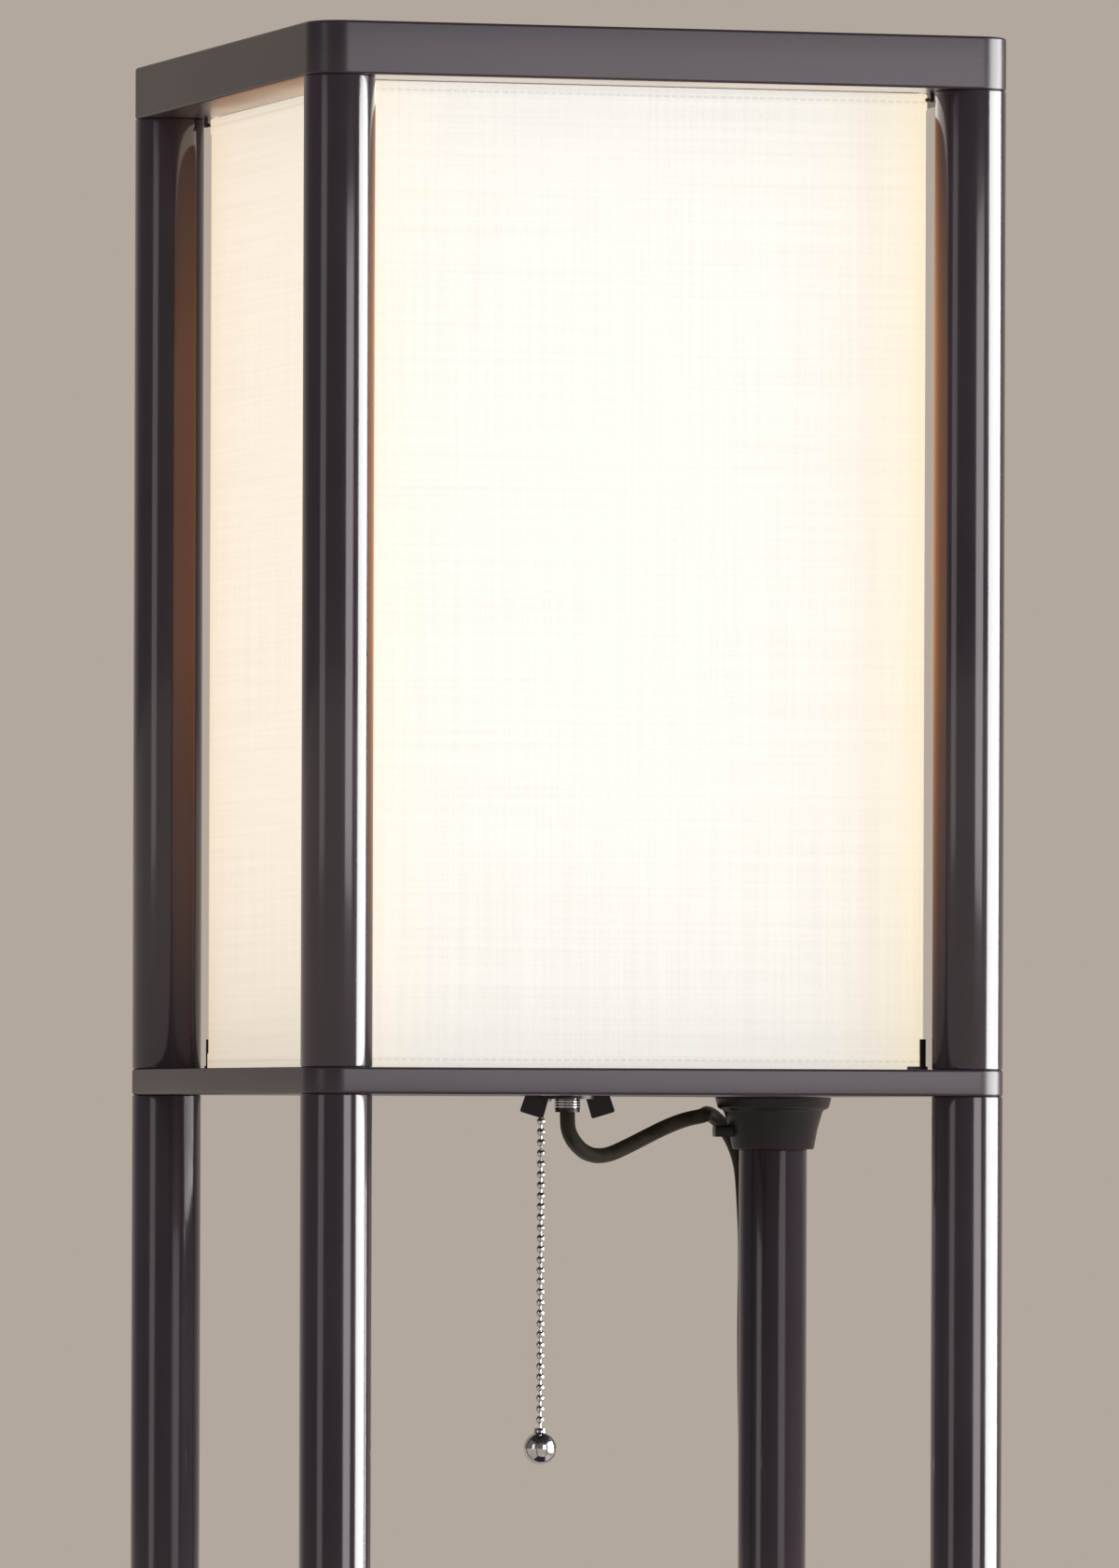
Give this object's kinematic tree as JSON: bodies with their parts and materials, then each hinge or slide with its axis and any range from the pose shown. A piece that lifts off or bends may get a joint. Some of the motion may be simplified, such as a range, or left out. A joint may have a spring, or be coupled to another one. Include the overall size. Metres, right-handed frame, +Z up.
{
  "type": "shelf floor lamp",
  "caption": "Square four-post shelf tower with a lit fabric box shade under its open top frame, a pull chain and a cord.",
  "frame": {"origin": "on the floor, under the middle of the square tower", "axes": "+Z up; the front faces -Y; +X to the right seen from the front"},
  "size_m": [0.2691, 0.3878, 1.6],
  "materials": {
    "black_lacquer": "charcoal black, semi-gloss baked finish",
    "board_lacquer": "fibreboard in charcoal black lacquer, semi-gloss",
    "glide_plastic": "black moulded glide",
    "insert_plastic": "natural nylon",
    "zinc_steel": "zinc plated",
    "shade_fabric": "off-white translucent laminated cloth",
    "ring_wire": "white coated wire",
    "clip_plastic": "black moulded",
    "chrome": "bright plated",
    "black_plastic": "black moulded",
    "switch_plastic": "ivory moulded",
    "socket_brass": "brass plated shell",
    "contact_brass": "bare brass",
    "bulb_cap": "bare aluminium screw cap",
    "bulb_glass": "frosted white",
    "cord_sleeve": "black sleeve, dull sheen"
  },
  "bodies": {
    "stand": {"lamp_bay_post_front_left": "black_lacquer", "lamp_bay_post_front_right": "black_lacquer", "lamp_bay_post_rear_right": "black_lacquer", "lamp_bay_post_rear_left": "black_lacquer", "upper_bay_post_front_left": "black_lacquer", "upper_bay_post_front_right": "black_lacquer", "upper_bay_post_rear_right": "black_lacquer", "upper_bay_post_rear_left": "black_lacquer", "middle_bay_post_front_left": "black_lacquer", "middle_bay_post_front_right": "black_lacquer", "middle_bay_post_rear_right": "black_lacquer", "middle_bay_post_rear_left": "black_lacquer", "lower_bay_post_front_left": "black_lacquer", "lower_bay_post_front_right": "black_lacquer", "lower_bay_post_rear_right": "black_lacquer", "lower_bay_post_rear_left": "black_lacquer", "foot_posts": "black_lacquer", "top_frame": "board_lacquer", "light_panel": "board_lacquer", "upper_shelf": "board_lacquer", "middle_shelf": "board_lacquer", "lower_shelf": "board_lacquer", "foot_glides": "glide_plastic", "post_inserts": "insert_plastic", "board_studs": "zinc_steel", "top_frame_studs": "zinc_steel", "top_frame_bushings": "zinc_steel", "shade_skin": "shade_fabric", "shade_lower_ring": "ring_wire", "shade_upper_ring": "ring_wire", "shade_uprights": "ring_wire", "shade_clips": "clip_plastic", "shade_hooks": "clip_plastic", "lamp_nipple": "chrome", "nipple_bushing": "black_plastic", "panel_washer": "zinc_steel", "lock_nut": "zinc_steel", "wing_nut": "black_plastic", "socket_cap": "socket_brass", "socket_shell": "socket_brass", "socket_core": "black_plastic", "terminal_screws": "contact_brass", "centre_contact": "contact_brass", "screw_shell": "contact_brass", "switch_housing": "black_plastic", "return_spring": "zinc_steel", "chain_guide": "black_plastic", "cord_collar": "black_plastic", "cord_in_fitting": "cord_sleeve", "cord_run": "cord_sleeve", "cord_coil": "cord_sleeve", "plug_body": "black_plastic", "plug_blades": "contact_brass"},
    "pull": {"pull_rod": "switch_plastic", "chain_upper_run": "chrome"},
    "chain_swivel": {"chain_swivel_bead": "chrome"},
    "hanging_chain": {"pull_chain": "chrome", "chain_ball": "chrome"},
    "bulb": {"bulb_base": "bulb_cap", "bulb_glass": "bulb_glass"}
  },
  "joints": [
    {"name": "chain_pull", "type": "slide", "parent": "stand", "child": "pull", "axis": [0, 0, -1], "range_m": [0, 0.008], "stiffness_N_per_m": 300, "springref_m": -0.002, "deforming": ["return_spring"]},
    {"name": "chain_swing_front_back", "type": "hinge", "parent": "pull", "child": "chain_swivel", "pos_m": [0.0025, 0.034, 1.2175], "axis": [1, 0, 0], "range_deg": [-25, 25]},
    {"name": "chain_swing_side", "type": "hinge", "parent": "chain_swivel", "child": "hanging_chain", "pos_m": [0.0025, 0.034, 1.2136], "axis": [0, 1, 0], "range_deg": [-25, 25]},
    {"name": "bulb_out", "type": "slide", "parent": "stand", "child": "bulb", "axis": [0, 0, 1], "range_m": [0, 0.022]}
  ]
}
